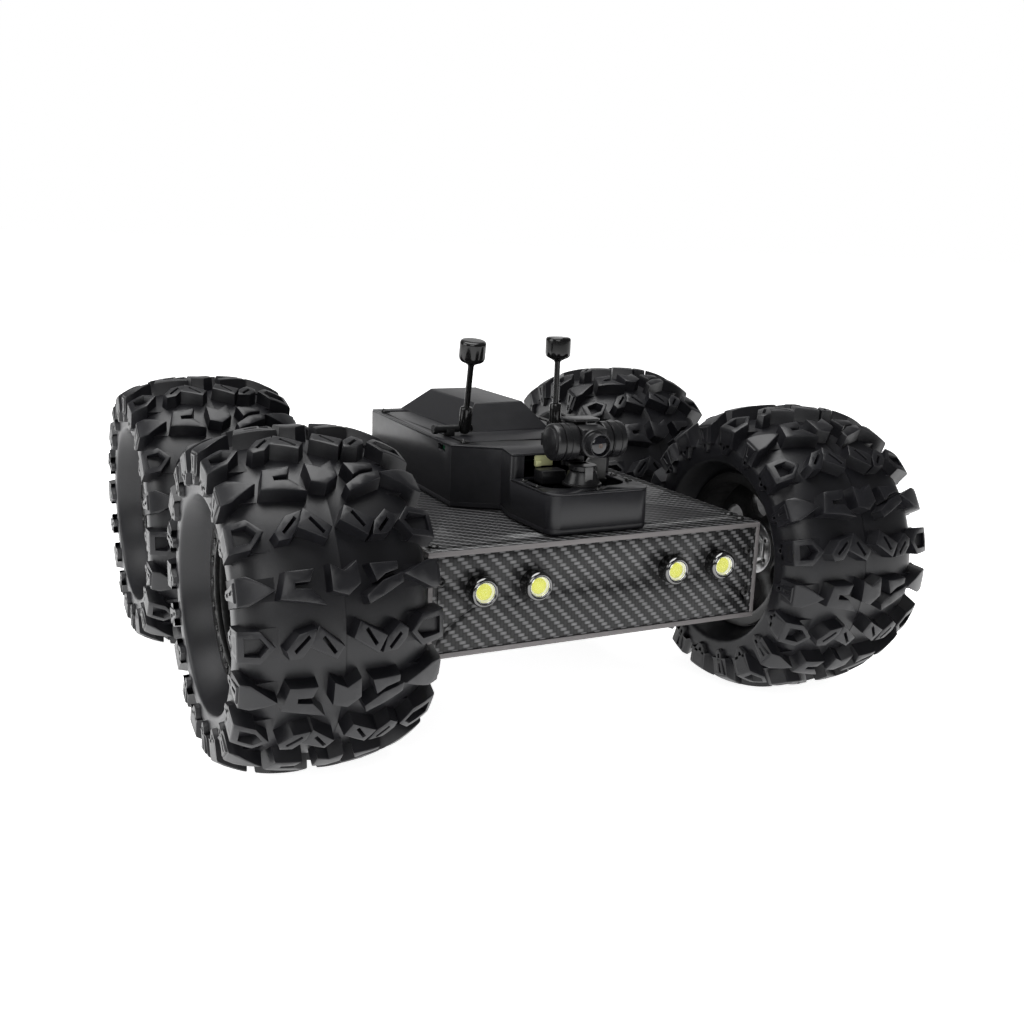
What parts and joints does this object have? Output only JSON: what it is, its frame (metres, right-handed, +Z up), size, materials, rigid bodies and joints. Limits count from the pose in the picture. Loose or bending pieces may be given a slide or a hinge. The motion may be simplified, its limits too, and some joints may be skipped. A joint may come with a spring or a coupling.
{
  "type": "four wheel robot chassis",
  "caption": "Skid-steer rover chassis: flat carbon plate box, large block-tread wheels, front lamps, control module with pan and tilt camera and swivel antennas.",
  "frame": {"origin": "on the floor under the middle of the wheelbase and track", "axes": "+Z up, -Y towards the front, +X towards the chassis's own left"},
  "size_m": [0.467, 0.4324, 0.2419],
  "materials": {
    "carbon": "glossy black carbon-fibre laminate, twill weave",
    "bare_aluminium": "plain machined",
    "black_screw": "black oxide",
    "black_anodised": "satin black anodised",
    "lamp_glass": "clear moulded lens",
    "lamp_emitter": "yellow phosphor in a silvered cup",
    "battery_wrap": "blue heat-shrink wrap",
    "circuit_board": "green solder mask",
    "steel": "brushed",
    "gimbal_black": "satin black anodised",
    "antenna_plastic": "glossy black moulding",
    "tyre_rubber": "moulded black rubber, satin",
    "rim_black": "black moulded nylon",
    "ring_black": "satin black"
  },
  "bodies": {
    "chassis": {"deck_plate": "carbon", "bottom_plate": "carbon", "side_plate_left": "carbon", "side_plate_right": "carbon", "front_panel": "carbon", "rear_panel": "carbon", "corner_posts": "bare_aluminium", "motor_brackets": "bare_aluminium", "chassis_screws": "black_screw", "module_screws": "black_screw", "lamp_bodies": "black_anodised", "lamp_nuts": "black_anodised", "module_base": "black_anodised", "module_shell": "black_anodised", "module_lid": "black_anodised", "lid_cover": "black_anodised", "nose_plate": "black_anodised", "gimbal_base": "black_anodised", "power_switch": "black_anodised", "antenna_connectors": "black_anodised", "lamp_lenses": "lamp_glass", "lamp_emitters": "lamp_emitter", "battery_pack": "battery_wrap", "motor_driver_board": "circuit_board", "main_board": "circuit_board", "gear_motor_front_left": "steel", "gear_motor_front_right": "steel", "gear_motor_rear_left": "steel", "gear_motor_rear_right": "steel"},
    "wheel_front_left": {"tyre_front_left": "tyre_rubber", "rim_front_left": "rim_black", "bead_ring_front_left": "ring_black", "drive_hub_front_left": "bare_aluminium", "output_shaft_front_left": "steel", "wheel_fasteners_front_left": "black_screw"},
    "wheel_front_right": {"tyre_front_right": "tyre_rubber", "rim_front_right": "rim_black", "bead_ring_front_right": "ring_black", "drive_hub_front_right": "bare_aluminium", "output_shaft_front_right": "steel", "wheel_fasteners_front_right": "black_screw"},
    "wheel_rear_left": {"tyre_rear_left": "tyre_rubber", "rim_rear_left": "rim_black", "bead_ring_rear_left": "ring_black", "drive_hub_rear_left": "bare_aluminium", "output_shaft_rear_left": "steel", "wheel_fasteners_rear_left": "black_screw"},
    "wheel_rear_right": {"tyre_rear_right": "tyre_rubber", "rim_rear_right": "rim_black", "bead_ring_rear_right": "ring_black", "drive_hub_rear_right": "bare_aluminium", "output_shaft_rear_right": "steel", "wheel_fasteners_rear_right": "black_screw"},
    "pan_head": {"pan_yoke": "gimbal_black", "tilt_motors": "gimbal_black"},
    "camera": {"camera_body": "gimbal_black", "camera_lens": "lamp_glass"},
    "left_antenna": {"antenna_left": "antenna_plastic"},
    "right_antenna": {"antenna_right": "antenna_plastic"},
    "button": {"power_button": "steel"}
  },
  "joints": [
    {"name": "axle_front_left", "type": "hinge", "parent": "chassis", "child": "wheel_front_left", "pos_m": [0.177, -0.1162, 0.1], "axis": [1, 0, 0], "continuous": true},
    {"name": "axle_front_right", "type": "hinge", "parent": "chassis", "child": "wheel_front_right", "pos_m": [-0.177, -0.1162, 0.1], "axis": [1, 0, 0], "continuous": true},
    {"name": "axle_rear_left", "type": "hinge", "parent": "chassis", "child": "wheel_rear_left", "pos_m": [0.177, 0.1162, 0.1], "axis": [1, 0, 0], "continuous": true},
    {"name": "axle_rear_right", "type": "hinge", "parent": "chassis", "child": "wheel_rear_right", "pos_m": [-0.177, 0.1162, 0.1], "axis": [1, 0, 0], "continuous": true},
    {"name": "camera_pan", "type": "hinge", "parent": "chassis", "child": "pan_head", "pos_m": [-0.002, -0.142, 0.1695], "axis": [0, 0, 1], "range_deg": [-90, 90]},
    {"name": "camera_tilt", "type": "hinge", "parent": "pan_head", "child": "camera", "pos_m": [-0.002, -0.142, 0.188], "axis": [-1, 0, 0], "range_deg": [-30, 30]},
    {"name": "antenna_left_swivel", "type": "hinge", "parent": "chassis", "child": "left_antenna", "pos_m": [0.035, -0.0385, 0.1806], "axis": [1, 0, 0], "range_deg": [-70, 70]},
    {"name": "antenna_right_swivel", "type": "hinge", "parent": "chassis", "child": "right_antenna", "pos_m": [-0.035, -0.0385, 0.1806], "axis": [1, 0, 0], "range_deg": [-80, 60]},
    {"name": "power_button_press", "type": "slide", "parent": "chassis", "child": "button", "axis": [0, -1, 0], "range_m": [0, 0.002], "stiffness_N_per_m": 500, "springref_m": -0.001}
  ]
}
